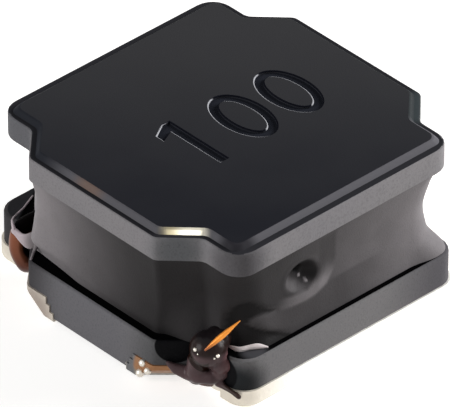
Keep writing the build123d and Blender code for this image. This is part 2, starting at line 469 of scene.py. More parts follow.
# %% [markdown]
# The core's cuts: two grooves in the underside for the wire tails, sloped lower edges in the
# notches so that they can't nick the wire, and the value pressed into the top as digits. A
# digit's mould has a draft and a soft rim, and the ground finish paints a highlight on that rim
# where it faces +X. So each digit is cut with a shape that flares out just below the surface, not
# with a plain prism.

# %% Ferrite core: grooves, notch edges and digits
groove_y, groove_half, groove_roof = 3.0, 0.35, 0.53
notch_chamfer = 0.42
digit_height, digit_stroke, digit_depth = 1.85, 0.21, 0.07
digits_y = -0.1
one_x, zero_places = -1.0, (0.42, 1.78)
flag_width, flag_drop = 0.36, 0.22
flare, flare_depth, flare_steps = 0.03, 0.03, 3
digit_past, past = 0.05, 1.0


def groove_cutter(side):
    """Box that cuts one straight groove into the underside."""
    half_x = base_x / 2 + past
    near, far = side * groove_y - groove_half, side * groove_y + groove_half
    ring = [Vector(p) for p in ((-half_x, near), (half_x, near), (half_x, far), (-half_x, far))]
    return make_piece("groove", *join_rings([at_height(ring, -past), at_height(ring, groove_roof)]))


def notch_cutter(side_x, side_y, length=2.2):
    """Wedge that slopes the lower edge of one notch's slanted wall."""
    run_x, run_y = base_x / 2 - neck_half, notch_end - notch_start
    root = Vector((side_x * neck_half, side_y * notch_end, base_bottom))
    outward = Vector((side_x * run_x, -side_y * run_y, 0)).normalized()
    inward = Vector((-side_x * run_y, -side_y * run_x, 0)).normalized()
    section = [(-past, -past), (notch_chamfer + past, -past), (-past, notch_chamfer + past)]
    rings = []
    for along in (0.0, length):
        rings.append([root + outward * along + inward * a + Vector((0, 0, b)) for a, b in section])
    if side_x * side_y < 0:
        rings.reverse()
    return make_piece("notch_cutter", *join_rings(rings))


def grown(outline, amount):
    """Flat outline moved outwards by an amount, with its corners kept sharp."""
    moved = []
    for i, here in enumerate(outline):
        before = (here - outline[i - 1]).normalized()
        after = (outline[(i + 1) % len(outline)] - here).normalized()
        out_a, out_b = Vector((before.y, -before.x)), Vector((after.y, -after.x))
        moved.append(here + (out_a + out_b) * amount / (1 + out_a.dot(out_b)))
    return moved


def digit_levels():
    """How far the cut has flared at each height, from its floor to above the surface."""
    levels = [(top_face - digit_depth, 0.0), (top_face - flare_depth, 0.0)]
    for i in range(1, flare_steps + 1):
        angle = math.pi / 2 * i / flare_steps
        height = top_face - flare_depth * (1 - math.sin(angle))
        levels.append((height, flare * (1 - math.cos(angle))))
    levels.append((top_face + digit_past, flare))
    return levels


def digit_one(x):
    """Cutter for the digit one."""
    left, right_edge = x - digit_stroke / 2, x + digit_stroke / 2
    top, foot = digits_y + digit_height / 2, digits_y - digit_height / 2
    corners = [
        (left, foot),
        (right_edge, foot),
        (right_edge, top),
        (left, top),
        (left - flag_width, top - flag_drop),
        (left - flag_width, top - flag_drop - digit_stroke),
        (left, top - 1.25 * digit_stroke),
    ]
    outline = [Vector(corner) for corner in corners]
    rings = [at_height(grown(outline, out), z) for z, out in digit_levels()]
    return make_piece("digit_one", *join_rings(rings))


def digit_zero(x, width=1.1, steps=72):
    """Cutter for the digit zero: an oval wall outside, up and over to the one inside."""
    def oval(half_x, half_y, z):
        turns = [2 * math.pi * i / steps for i in range(steps)]
        return [Vector((x + half_x * math.cos(t), digits_y + half_y * math.sin(t), z)) for t in turns]

    outside = [oval(width / 2 + out, digit_height / 2 + out, z) for z, out in digit_levels()]
    inner_x, inner_y = width / 2 - digit_stroke, digit_height / 2 - digit_stroke
    inside = [oval(inner_x - out, inner_y - out, z) for z, out in reversed(digit_levels())]
    return make_piece("digit_zero", *join_rings(outside + inside, closed=True))


cutters = [groove_cutter(side) for side in (-1, 1)]
cutters += [notch_cutter(side_x, side_y) for side_x in (-1, 1) for side_y in (-1, 1)]
cutters += [digit_one(one_x)] + [digit_zero(x) for x in zero_places]
cut(core, cutters)
shade_piece(core.data, sharp_degrees=25)
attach(core, "root")
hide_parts("drum_core")
print("core after its cuts:", len(core.data.vertices), "points")

# %% [markdown]
# The winding: one enamelled wire from tail to tail. It climbs round the post in an inner
# layer, crosses to an outer layer, comes down, and leaves through the two notches on one
# side. A bevelled curve keeps the wire's thickness everywhere and needs only its centre line.

# %% Enamelled wire
wire_radius = 0.2
wire_low, wire_high = base_top + 0.24, top_bottom - 0.24
outer_low = 1.93
inner_radius, outer_radius = 2.17, 2.6
inner_halves, outer_halves = 7, 4
half_steps = 12
lead_x, lead_y, tail_z = -3.49, 3.0, 0.26
tail_end_x = 2.31


def coil_line():
    """Centre line of the coil: half turns up inside, one across, half turns down, one to the exit."""
    climb, drop = wire_high - wire_low, wire_high - outer_low
    stages = [(inner_radius, wire_low + climb * (i + 1) / inner_halves) for i in range(inner_halves)]
    stages.append((outer_radius, wire_high))
    stages += [(outer_radius, wire_high - drop * (i + 1) / outer_halves) for i in range(outer_halves)]
    stages.append((outer_radius, wire_low))
    radius, height, turn = inner_radius, wire_low, math.pi / 2
    line = []
    for end_radius, end_height in stages:
        for k in range(half_steps):
            share = k / half_steps
            r = radius + (end_radius - radius) * share
            z = height + (end_height - height) * share
            line.append(Vector((r * math.cos(turn), r * math.sin(turn), z)))
            turn -= math.pi / half_steps
        radius, height = end_radius, end_height
    line.append(Vector((radius * math.cos(turn), radius * math.sin(turn), height)))
    return line


def lead_line(side):
    """Tail in its groove, round the foot, up the notch and into the waist, on one side."""
    places = [
        (tail_end_x, lead_y, tail_z),
        (-1.0, lead_y, tail_z),
        (lead_x + 0.7, lead_y, tail_z),
        (lead_x + 0.3, lead_y - 0.1, tail_z + 0.06),
        (lead_x + 0.06, lead_y - 0.28, tail_z + 0.22),
        (lead_x, lead_y - 0.12, tail_z + 0.5),
        (lead_x, lead_y - 0.08, wire_low - 0.5),
        (lead_x + 0.04, lead_y - 0.1, wire_low - 0.12),
        (lead_x + 0.5, lead_y - 0.1, wire_low - 0.08),
        (-1.6, lead_y - 0.45, wire_low),
    ]
    return [Vector((x, side * y, z)) for x, y, z in places]


def wire_piece(name, line):
    """Round wire along a smooth line, as a closed mesh."""
    curve = bpy.data.curves.new(name, "CURVE")
    curve.dimensions = "3D"
    spline = curve.splines.new("NURBS")
    spline.points.add(len(line) - 1)
    for point, place in zip(spline.points, line):
        point.co = (*(place * mm), 1)
    spline.order_u = 3
    spline.use_endpoint_u = True
    curve.resolution_u = 6
    curve.bevel_depth = wire_radius * mm
    curve.bevel_resolution = 6
    curve.use_fill_caps = True
    drawn = add_object(name + "_line", curve)
    mesh = finished_mesh(drawn)
    bpy.data.objects.remove(drawn)
    shade_piece(mesh, sharp_degrees=50)
    return add_object(name, mesh)


wire = wire_piece("enamelled_wire", lead_line(1) + coil_line() + list(reversed(lead_line(-1))))
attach(wire, "root")
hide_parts("winding")
print("wire:", len(wire.data.polygons), "faces")

# %% [markdown]
# The magnetic resin is poured round the coil as a thick paste and baked. Its sides are drawn
# in between the plates, and it sags, climbs and leaves marks where a bubble opened. A fine
# grid of rings gives it that overall form, and then every point of the grid is moved in or
# out a little, by given shapes and a slow wave, as one would push clay with a thumb.

# %% Resin: overall form
resin_levels = [
    # share of the height, inset at the notched sides, inset at the plain sides, corner round
    (0.0, 0.36, 0.185, 0.55),
    (0.12, 0.33, 0.26, 0.65),
    (0.46, 0.26, 0.35, 0.75),
    (0.8, 0.14, 0.2, 0.75),
    (1.0, 0.05, 0.07, 0.65),
]
bore_radius = 2.83


def smooth_between(rows, share):
    """Values at a share of the height, on a smooth curve through the given rows."""
    last = len(rows) - 1
    k = max(i for i in range(last) if rows[i][0] <= share)
    a, b, c, d = (rows[min(max(j, 0), last)] for j in (k - 1, k, k + 1, k + 2))
    width = c[0] - b[0]
    t = (share - b[0]) / width
    values = []
    for column in range(1, len(b)):
        slope_b = (c[column] - a[column]) / max(c[0] - a[0], 1e-6) * width
        slope_c = (d[column] - b[column]) / max(d[0] - b[0], 1e-6) * width
        p, q = b[column], c[column]
        curve = (2 * t**3 - 3 * t**2 + 1) * p + (t**3 - 2 * t**2 + t) * slope_b
        curve += (3 * t**2 - 2 * t**3) * q + (t**3 - t**2) * slope_c
        values.append(curve)
    return values


def resin_rings(levels=60, step=0.036):
    """Rings of the resin's outside, from the lower plate to the upper one."""
    rings = []
    for i in range(levels + 1):
        share = i / levels
        inset_x, inset_y, tip = smooth_between(resin_levels, share)
        size_x = base_x + (top_x - base_x) * share
        size_y = base_y + (top_y - base_y) * share
        outline = plate_outline(size_x, size_y, inset_x, inset_y, tip, step=step, arc=10)
        rings.append(at_height(outline, base_top + (top_bottom - base_top) * share))
    return rings


outside = resin_rings()
print("resin grid:", len(outside), "rings of", len(outside[0]), "points")

# %% Resin: tools for pushing and staining
def soft(value, low, high):
    """0 below low, 1 above high, and smooth between."""
    t = min(1.0, max(0.0, (value - low) / (high - low)))
    return t * t * (3 - 2 * t)


def near_line(here, line):
    """Distance from a flat point to a line of points, and the share along it."""
    best, along = 9.0, 0.0
    for i in range(len(line) - 1):
        a, b = Vector(line[i]), Vector(line[i + 1])
        t = min(1.0, max(0.0, (here - a).dot(b - a) / (b - a).length_squared))
        gap = (here - a.lerp(b, t)).length
        if gap < best:
            best, along = gap, (i + t) / (len(line) - 1)
    return best, along


def within(here, outline, blur):
    """1 inside an outline and 0 outside it, softened over the blur at its edge."""
    gap = near_line(here, outline + outline[:1])[0]
    crossings = 0
    for (ax, ay), (bx, by) in zip(outline, outline[1:] + outline[:1]):
        if (ay > here.y) != (by > here.y) and here.x < ax + (bx - ax) * (here.y - ay) / (by - ay):
            crossings += 1
    return soft(gap if crossings % 2 else -gap, -blur, blur)


def fade(value, low, high):
    """1 below low, 0 above high, and smooth between."""
    return 1 - soft(value, low, high)


def blend(first, second, share):
    """Value at a share of the way from the first to the second."""
    return first + (second - first) * share


print("soft steps at 0, 0.25 and 0.5:", [soft(v, 0, 1) for v in (0, 0.25, 0.5)])

# %% [markdown]
# The front face tells how the paste was worked. A bubble opened near the middle and left a
# round dent with a pit. A rounded fold of paste curls round it, and below that fold a sunken
# wave runs back to the notch. Each mark is an outline, used twice: once for how far it pushes
# the face, and once for the painted shade and highlights that it gets: dark in the dent and
# lighter towards its lower edge, dark in the pit and the wave, light on the fold and on two
# glints in the dent. The outlines were drawn on an upright plane, so a point on the round corner
# is first carried to it, as the camera sees.

# %% Resin: the marks on its front face
bubble_x, bubble_z = -1.13, 2.41
bubble_half_x, bubble_half_z, bubble_depth = 0.47, 0.38, 0.2
bubble_pit = (-1.09, 2.5)
bubble_glint_bumps = [(-1.04, 2.31), (-0.95, 2.185)]
fold_line = [
    (-0.44, 3.1), (-0.47, 2.6), (-0.53, 2.3), (-0.7, 2.02), (-1.06, 1.89), (-1.45, 1.9), (-2.1, 2.0),
]
fold_outline = [
    (-0.1, 3.1), (-0.11, 2.84), (-0.12, 2.51), (-0.19, 2.11), (-0.36, 1.84), (-0.73, 1.71),
    (-1.42, 1.74), (-2.0, 1.84), (-2.0, 2.1), (-1.42, 2.03), (-0.98, 2.02), (-0.78, 2.15),
    (-0.65, 2.4), (-0.58, 2.85), (-0.58, 3.1),
]
wave_outline = [
    (-3.6, 2.1), (-3.3, 2.46), (-3.05, 2.54), (-2.61, 2.42), (-2.3, 2.16), (-2.1, 2.0), (-1.85, 1.87),
    (-2.1, 1.89), (-2.44, 1.97), (-2.66, 1.97), (-2.71, 1.88), (-2.56, 1.75), (-2.36, 1.59),
    (-2.0, 1.36), (-1.43, 1.04), (-1.43, 0.8), (-3.9, 0.8),
]
marks_y = -3.6
# How far each mark stands out or goes in, in mm
rim_height, grain_height, fold_height = 0.01, 0.02, 0.06
pit_depth, wave_depth = 0.08, 0.07
# Grey levels painted on the marks: shade in the wave, the pit and the dent, highlights on the glints and
# the fold, a level below the fold, and two for the marks whose light changes along them
below_level, wave_shade_level, pit_shade_level, glint_level = 68, 27, 5, 165
fold_highlight_levels, bubble_shade_levels = (108, 62), (36, 78)


def traced(p):
    """Where a point falls on the upright plane of the marks, along the line of sight."""
    q = p + back * ((marks_y - p.y) / back.y)
    return q.x, q.z


def bubble_gap(x, z):
    """0 in the middle of the bubble mark and 1 at its rim."""
    return math.hypot((x - bubble_x) / bubble_half_x, (z - bubble_z) / bubble_half_z)


def front_depth(x, z):
    """How far the front face is pushed in at a place, in mm."""
    gap = bubble_gap(x, z)
    depth = bubble_depth * fade(gap, 0.3, 1.02)
    depth -= rim_height * math.exp(-((gap - 1.12) / 0.13) ** 2)
    depth += pit_depth * fade(math.dist((x, z), bubble_pit), 0.03, 0.13)
    for grain in bubble_glint_bumps:
        depth -= grain_height * math.exp(-(math.dist((x, z), grain) / 0.035) ** 2)
    here = Vector((x, z))
    fold, along = near_line(here, fold_line)
    ends = soft(along, 0.1, 0.4) * soft(1 - along, 0.0, 0.35)
    depth -= fold_height * math.exp(-(fold / 0.17) ** 2) * ends
    depth += wave_depth * within(here, wave_outline, 0.12)
    return depth


def front_level(x, z, level):
    """Grey level of the front face at a place, from the level that it has without marks, with the
    painted shade and highlights of the marks.
    """
    here = Vector((x, z))
    edge = 1.88 + 0.17 * soft(-x, 1.4, 2.3)
    below = soft(edge - z, -0.05, 0.05) * soft(x, -3.1, -2.8) * fade(x, -0.2, 1.6)
    level = blend(level, below_level, below)
    shine = within(here, fold_outline, 0.06) * soft(x, -2.0, -1.2)
    level = blend(level, blend(*fold_highlight_levels, soft(z, 1.95, 2.5)), shine)
    level = blend(level, wave_shade_level, within(here, wave_outline, 0.03))
    gap = bubble_gap(x, z)
    slope = soft((bubble_x - x) * 0.6 + bubble_z - z, -0.1, 0.3)
    level = blend(level, blend(*bubble_shade_levels, slope), fade(gap, 0.9, 1.02))
    level = blend(level, pit_shade_level, fade(math.dist((x, z), bubble_pit), 0.07, 0.14))
    for grain in bubble_glint_bumps:
        level = blend(level, glint_level, fade(math.dist((x, z), grain), 0.025, 0.05))
    return level


print("the bubble is pushed in by", round(front_depth(bubble_x, bubble_z), 3), "mm")

# %% [markdown]
# Now every point of the grid is moved. At the left and the front notch the resin stands fuller
# towards the foot, where it crept round the wire, and the foot spreads between them and at the
# right tip. The same loop stores a grey level for each point, as an attribute that the finish
# reads. That level is painted shade: light at the far ends and dark at the front corner, with the
# painted shade and highlights of the front marks on top. A painted image could do that too, but
# it would need an unwrapped surface.

# %% Resin: moving and staining every point
darkest, left_gain, front_gain = 0.022, 0.328, 0.168
slow_wave, quick_wave = 0.022, 0.008


def side_level(p):
    """Grey level of the sides, as painted shade: dark at the front corner, lighter away from it."""
    front = soft(-p.y, 2.0, 3.0)
    from_corner = p.x + p.y + 6.8
    left_share = min(1.0, max(0.0, from_corner - 1.12) / 4.48) ** 2.1
    front_share = min(1.0, max(0.0, from_corner) / 5.6) ** 1.85
    light = darkest + blend(left_gain * left_share, front_gain * front_share, front)
    # From light to the grey level that shows it
    return 255 * (1.055 * light ** (1 / 2.4) - 0.055)


def left_corner_shift(p):
    """How far the resin lies from the plain form at the left notch and behind it."""
    notch = soft(p.y, 0.9, 2.0) * fade(p.y, 2.7, 3.2) * fade(p.x, -3.0, -2.2)
    fuller = 0.42 * notch * fade(p.z, 1.3, 3.0)
    tip = soft(p.y, 2.6, 3.3) * fade(p.x, -2.6, -1.2)
    slimmer = (0.16 + 0.3 * soft(p.z, 2.5, 3.35) + 0.22 * fade(p.z, 1.4, 2.2)) * tip
    undercut = 0.15 * soft(p.y, 0.5, 1.9) * fade(p.y, 2.1, 2.3) * fade(p.x, -3.3, -3.0)
    undercut *= fade(p.z, 1.25, 1.6)
    return Vector((0.73 * slimmer + undercut, fuller - 0.68 * slimmer, 0))


def front_corner_shift(p):
    """How far the resin's foot bulges into the front notch."""
    place = soft(-p.y, 1.9, 2.5) * fade(-p.y, 2.9, 3.3) * fade(p.x, -2.9, -2.3)
    return Vector((-0.68, -0.73, 0)) * 0.45 * fade(p.z, 1.3, 2.4) * place


def left_foot_shift(p):
    """How far the resin's foot spreads on the left side, between the two notches."""
    place = soft(-p.x, 2.9, 3.4) * soft(p.y, -3.0, -2.2) * fade(p.y, 1.7, 2.3)
    return Vector((-0.1, 0, 0)) * place * fade(p.z, 1.3, 2.0)


def right_foot_shift(p):
    """How far the resin's foot spreads over the plate at the right tip."""
    place = soft(p.x, 1.9, 3.0) * soft(-p.y, 2.6, 3.4)
    spread = 0.33 * fade(p.z, 1.23, 1.75) + 0.07 * fade(p.z, 1.6, 2.5)
    return Vector((0.73, -0.68, 0)) * spread * place


def push_resin(rings):
    """Moves every point of the rings, and gives the new rings and a grey level for each point."""
    moved, levels = [], []
    for ring in rings:
        pushed = []
        for i, p in enumerate(ring):
            side = ring[(i + 1) % len(ring)] - ring[i - 1]
            outward = Vector((side.y, -side.x, 0)).normalized()
            share = (p.z - base_top) / (top_bottom - base_top)
            free = soft(share, 0.0, 0.08) * fade(share, 0.93, 1.0)
            slow = noise.noise(Vector((p.x * 0.55, p.y * 0.55, p.z * 0.9)))
            quick = noise.noise(p * 2.3 + Vector((7, 0, 0)))
            depth = (slow_wave * slow + quick_wave * quick) * free
            level = side_level(p)
            front = soft(-p.y, 2.75, 2.95)
            if front > 0:
                x, z = traced(p)
                depth += front_depth(x, z) * free * front
                level = blend(level, front_level(x, z, level), front)
            shift = sum((move(p) for move in resin_moves), Vector((0, 0, 0)))
            pushed.append(p - outward * depth + shift)
            levels.append(level)
        moved.append(pushed)
    return moved, levels


resin_moves = (left_corner_shift, left_foot_shift, front_corner_shift, right_foot_shift)
bore_level = 60.0
pushed_rings, levels = push_resin(outside)
bore = [
    round_like(pushed_rings[-1], bore_radius, top_bottom),
    round_like(pushed_rings[0], bore_radius, base_top),
]
resin = make_piece("resin_filling", *join_rings(pushed_rings + bore, closed=True), sharp_degrees=60)
tone = resin.data.attributes.new("tone", "FLOAT", "POINT")
levels += [bore_level] * (len(resin.data.vertices) - len(levels))
tone.data.foreach_set("value", [shade(v, v, v)[0] for v in levels])
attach(resin, "root")
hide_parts("magnetic_resin")
print("resin:", len(resin.data.polygons), "faces")

# %% [markdown]
# Small rounded things that run into each other, such as lips of resin, drops of flux and
# solder fillets, are hard to build face by face. Here they are strings of overlapping drops.
# The thick ones are melted together by a voxel remesh, which gives one closed skin whatever the
# drops do inside. The thinnest ones need voxels that are too small for the remesh to solve, so
# they stay overlapping drops, close enough together to look like one.

# %% Lumps of drops
def drop_mesh(centre, half):
    """Points and faces of one drop, from its centre and its half sizes."""
    shell = bmesh.new()
    bmesh.ops.create_icosphere(shell, subdivisions=3, radius=1.0)
    points = [Vector([centre[k] + v.co[k] * half[k] for k in range(3)]) for v in shell.verts]
    faces = [tuple(v.index for v in face.verts) for face in shell.faces]
    shell.free()
    return points, faces


def lump(name, drops, smoothing, voxel=None):
    """Piece made of overlapping drops. With a voxel size in mm they melt into one closed skin."""
    points, faces = [], []
    for centre, half in drops:
        half = half if isinstance(half, tuple) else (half, half, half)
        more_points, more_faces = drop_mesh(centre, half)
        faces += [tuple(len(points) + k for k in face) for face in more_faces]
        points += more_points
    piece = make_piece(name, points, faces)
    if voxel:
        change = piece.modifiers.new("melt", "REMESH")
        change.mode = "VOXEL"
        change.voxel_size = voxel * mm
    ease = piece.modifiers.new("ease", "SMOOTH")
    ease.factor = 0.5
    ease.iterations = smoothing
    settle(piece)
    piece.data.shade_smooth()
    return piece


def string(line, spacing=0.4):
    """Drops along a line of places, each (x, y, z, radius), at a share of their radius apart."""
    drops = []
    for (ax, ay, az, ar), (bx, by, bz, br) in zip(line, line[1:]):
        a, b = Vector((ax, ay, az)), Vector((bx, by, bz))
        count = max(1, math.ceil((b - a).length / (spacing * min(ar, br))))
        drops += [(tuple(a.lerp(b, k / count)), blend(ar, br, k / count)) for k in range(count)]
    x, y, z, radius = line[-1]
    return drops + [((x, y, z), radius)]


def eased(line, steps=30):
    """Places and radii on a smooth curve through the given ones."""
    rows = [(i / (len(line) - 1), *place) for i, place in enumerate(line)]
    return [smooth_between(rows, k / steps) for k in range(steps + 1)]


print("one drop has", len(drop_mesh((0, 0, 0), (1, 1, 1))[0]), "points")

# %% [markdown]
# Where the left lead leaves, the paste crept over the plate's edge: a thin rim runs round a
# hollow, and a thicker lip hangs between the wire and the plate. At the front notch only a
# thin wavy foot shows.

# %% Resin lips at the two leads
left_lip = string([
    (-2.3, 3.74, 1.24, 0.02),
    (-2.76, 3.53, 1.25, 0.02),
    (-3.08, 3.41, 1.29, 0.02),
    (-3.3, 3.26, 1.4, 0.022),
    (-3.5, 3.08, 1.51, 0.026),
    (-3.6, 2.94, 1.53, 0.035),
    (-3.64, 2.86, 1.46, 0.05),
], spacing=0.6)
# The web behind the wire: flat drops from the rim back to the resin's face
web_steps = 16
for k in range(web_steps + 1):
    share = k / web_steps
    x = -3.63 + 0.06 * soft(share, 0.5, 1.0)
    y = blend(2.84, 2.12, share)
    z = 1.41 - 0.07 * soft(share, 0.0, 0.35) + 0.17 * soft(share, 0.45, 1.0)
    half_z = 0.08 + 0.15 * soft(share, 0.0, 0.8)
    left_lip.append(((x, y, z), (0.07, 0.11, half_z)))
left_lip += string([(-3.64, 2.12, 1.42, 0.06), (-3.74, 2.1, 1.32, 0.035), (-3.9, 2.02, 1.22, 0.03)])
front_foot = string(eased([
    (-2.93, -3.22, 1.25, 0.02),
    (-2.9, -3.42, 1.26, 0.055),
    (-2.84, -3.52, 1.26, 0.065),
    (-2.68, -3.6, 1.27, 0.06),
    (-2.5, -3.7, 1.27, 0.07),
    (-2.34, -3.84, 1.25, 0.02),
]))
lips = []
for name, drops in (("left_resin_lip", left_lip), ("front_resin_foot", front_foot)):
    piece = lump(name, drops, smoothing=3)
    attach(piece, "root")
    lips.append(piece)
print("lips:", [len(piece.data.polygons) for piece in lips], "faces")

# %% [markdown]
# Brown flux residue clings to the front lead: a glossy drop on the bend, a thicker strand
# under it that runs back along the notch, and a thin tail across the corner. A thin bright
# copper sliver on the lead is a painted highlight, and a few solder beads stuck in the flux;
# four more beads on the drop stand in for glints, as painted highlights.

# %% Flux residue, solder beads and the highlight sliver
bend_drop = [((-3.37, -3.08, 1.31), (0.42, 0.42, 0.42)), ((-3.1, -3.08, 1.45), (0.3, 0.3, 0.3))]
right_lobe = [((-3.2, -3.3, 1.0), (0.28, 0.28, 0.26)), ((-3.22, -3.3, 0.75), (0.2, 0.2, 0.2))]
strand = string([
    (-3.82, -2.28, 0.72, 0.05),
    (-3.72, -2.44, 0.6, 0.12),
    (-3.58, -2.68, 0.54, 0.16),
    (-3.57, -2.95, 0.6, 0.16),
    (-3.41, -3.2, 0.63, 0.16),
    (-3.25, -3.3, 0.64, 0.14),
])
# A plug of flux hides the bare wire between the strand and the drop
plug = string([(-3.45, -2.8, 0.5, 0.22), (-3.5, -2.86, 0.7, 0.24), (-3.5, -2.92, 1.0, 0.25)])
tail = string([
    (-3.28, -3.3, 0.48, 0.1),
    (-3.27, -3.45, 0.46, 0.07),
    (-3.26, -3.68, 0.44, 0.05),
    (-3.22, -3.88, 0.38, 0.06),
])
flux_drops = bend_drop + right_lobe + strand + plug + tail
residue = lump("flux_residue", flux_drops, smoothing=4, voxel=0.025)
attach(residue, "root")
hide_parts("front_flux_residue")

# Painted highlight: a thin bright copper sliver on the lead, pointed at the top
sliver_low, sliver_high = Vector((-3.69, -3.33, 1.57)), Vector((-2.93, -3.6, 2.11))
sliver_steps = 8
sliver_line = []
for k in range(sliver_steps + 1):
    share = k / sliver_steps
    radius = 0.012 + 0.058 * math.sin(math.pi * (0.1 + share * 0.9)) ** 1.3
    sliver_line.append((*sliver_low.lerp(sliver_high, share), radius))
sliver = lump("copper_highlight_sliver", string(sliver_line), smoothing=2)

bead_and_glint_places = [
    (-4.05, -1.73, 0.54, 0.085),
    (-4.06, -1.66, 0.24, 0.1),
    (-4.06, -1.9, 0.42, 0.085),
    # The last four sit on the drop and stand in for glints: painted highlights
    (-3.74, -3.07, 1.47, 0.05),
    (-3.74, -3.16, 1.4, 0.03),
    (-3.47, -3.49, 1.39, 0.046),
    (-3.53, -3.44, 1.33, 0.03),
]
beads_and_glints = lump("solder_beads_and_glints", [((x, y, z), r) for x, y, z, r in bead_and_glint_places], smoothing=1)
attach(beads_and_glints, "root")

# Solder in the two grooves, round the wire's tails
solder_start, solder_step, solder_drops = -3.0, 0.13, 41
solder_half = (0.22, 0.3, 0.235)
solders = []
for name, side in (("front", -1), ("rear", 1)):
    line = [(solder_start + solder_step * k, side * lead_y, 0.24) for k in range(solder_drops)]
    drops = [(place, solder_half) for place in line]
    piece = lump(name + "_solder_bead", drops, smoothing=4, voxel=0.03)
    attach(piece, "root")
    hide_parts(name + "_solder")
    solders.append(piece)
print("residue:", len(residue.data.polygons), "faces, beads:", len(beads_and_glints.data.polygons), "faces")

# %% [markdown]
# Ferrite is a ceramic: nearly black inside, with a grey skin from firing. One material serves
# the sides of both plates, and tells them apart by height. Painted shade darkens the skin towards
# the ends and round the front notch, and paints the notch's walls black. All of that is made of
# soft balls of colour, placed in the part's own space.

# %% Fired ferrite
fired = Finish("fired_ferrite", roughness=0.6, specular=0.04)
blotch = fired.grain(1.6, 3)
speck = fired.grain(0.05, 2)
upper_skin = fired.mix(blotch, (126, 124, 128), (138, 135, 136))
lower_skin = fired.mix(blotch, (112, 111, 113), (124, 122, 123))
# Painted shade on the lower plate: darker along the left side and most at its left end, towards the
# right end and round the front notch, and black on the notch's slanted wall and on its neck
lower_skin = fired.stain(lower_skin, [
    ((-4.0, 2.8, 0.6), 1.2, 2.8, (60, 58, 60)),
    ((-4.6, 0.0, 0.6), 0.9, 2.4, (110, 109, 113)),
    ((-3.8, -2.6, 0.7), 0.6, 1.7, (86, 86, 88)),
    ((3.4, -4.0, 0.6), 0.6, 2.8, (88, 86, 90)),
    ((-2.95, -3.55, 0.6), 0.35, 0.8, (40, 42, 44)),
    ((-3.74, -2.44, 1.12), 0.46, 0.49, (9, 9, 11)),
    ((-3.2, -3.2, 0.79), 0.52, 0.56, (12, 12, 14)),
])
# Painted shade on the upper plate: darker at the left tip, at the front shoulder and tip, and at the
# right notch
upper_skin = fired.stain(upper_skin, [
    ((-3.5, 3.3, 3.6), 0.5, 1.2, (100, 100, 104)),
    ((-3.6, -2.35, 3.6), 0.2, 0.85, (98, 99, 102)),
    ((-2.95, -3.55, 3.6), 0.3, 0.9, (90, 88, 91)),
    ((3.6, -2.4, 3.9), 0.3, 0.9, (66, 70, 72)),
])
tone = fired.mix(fired.rise(fired.z, 2.0, 2.1), lower_skin, upper_skin)
tone = fired.mix(fired.rise(speck, 0.45, 0.75, 0.0, 0.18), tone, (30, 30, 33))
fired.colour(tone)
fired.bump(speck, 0.006)
print("fired ferrite nodes:", len(fired.tree.nodes))

# %% [markdown]
# The raised field is ground: dense, dull and nearly black, with painted shade that darkens it
# towards the front corner. The digits, the ledges and the top of the lower plate share its
# finish; the digits' rims get a painted highlight where they face +X, and the lower plate's top
# is painted black as shade. The bevel round the field is worn smooth, so it mirrors light, and a
# painted highlight makes it brightest at the front notch, while painted shade darkens it at the
# tips, along the back and at the right notch. Both get a material of their own, chosen face by
# face. Height alone can't tell them apart, because the bevel reaches as high as the digits' rims.

# %% Ground and worn ferrite
ground = Finish("ground_ferrite", roughness=0.6, specular=0.0)
wear = ground.grain(2.2, 3)
# Painted shade: the field is darker towards the front corner and lighter towards the back
front_to_back_shade = ground.rise(ground.math("ADD", ground.x, ground.y), -7.0, 7.0)
tone = ground.mix(front_to_back_shade, (37, 38, 44), (64, 64, 66))
tone = ground.mix(ground.rise(wear, 0.3, 0.7, 0.0, 0.1), tone, (70, 70, 72))
tone = ground.mix(ground.rise(ground.z, 4.01, 4.04), (42, 44, 51), tone)
# Painted highlight on the digits' rims that face +X, and painted shade on the others
facing = ground.node("ShaderNodeSeparateXYZ")
ground.feed(facing.inputs["Vector"], ground.node("ShaderNodeNewGeometry").outputs["Normal"])
lit_share = ground.rise(facing.outputs["X"], 0.02, 0.2)
painted_rim_light = ground.mix(lit_share, (22, 23, 30), (176, 177, 182))
tone = ground.mix(ground.band(ground.z, 4.036, 4.0684, 0.0012), tone, painted_rim_light)
# The ledges, with a patch of painted light at the right notch
ledge = ground.mix(ground.ball((3.55, -2.35, 3.95), 0.4, 0.75), (50, 50, 54), (74, 81, 84))
tone = ground.mix(ground.rise(ground.z, 3.96, 3.97), ledge, tone)
# Painted shade: the lower plate's top is black, paler at the front notch
plate_top_shade = ground.mix(ground.ball((-2.65, -3.75, 1.23), 0.15, 0.4), (8, 8, 9), (74, 74, 78))
# Beyond the resin's rim at the left tip the painted shade on the plate is paler
to_left_tip = ground.reach((-0.48, 0.876, 0.0))
plate_top_shade = ground.mix(ground.rise(to_left_tip, 4.36, 4.44), plate_top_shade, (56, 56, 59))
tone = ground.mix(ground.rise(ground.z, 2.0, 2.1), plate_top_shade, tone)
ground.colour(tone)
ground.bump(ground.grain(0.04, 2), 0.003)

worn = Finish("worn_ferrite", specular=0.06)
tone = worn.mix(worn.ball((-3.75, 0.25, 4.0), 0.1, 0.6), (94, 93, 98), (116, 99, 92))
# Painted shade: the bevel is darker at the left tip, along the back, at the right notch and at the front
# tip
tone = worn.stain(tone, [((-3.9, 3.0, 4.0), 1.2, 2.3, (34, 36, 42))])
towards_back = worn.math("ADD", worn.x, worn.y)
tone = worn.mix(worn.rise(towards_back, 0.6, 1.8), tone, (30, 32, 34))
tone = worn.stain(tone, [
    ((3.4, -2.4, 4.0), 0.3, 0.8, (44, 48, 50)),
    ((-3.0, -3.6, 4.0), 0.3, 0.7, (46, 45, 50)),
])
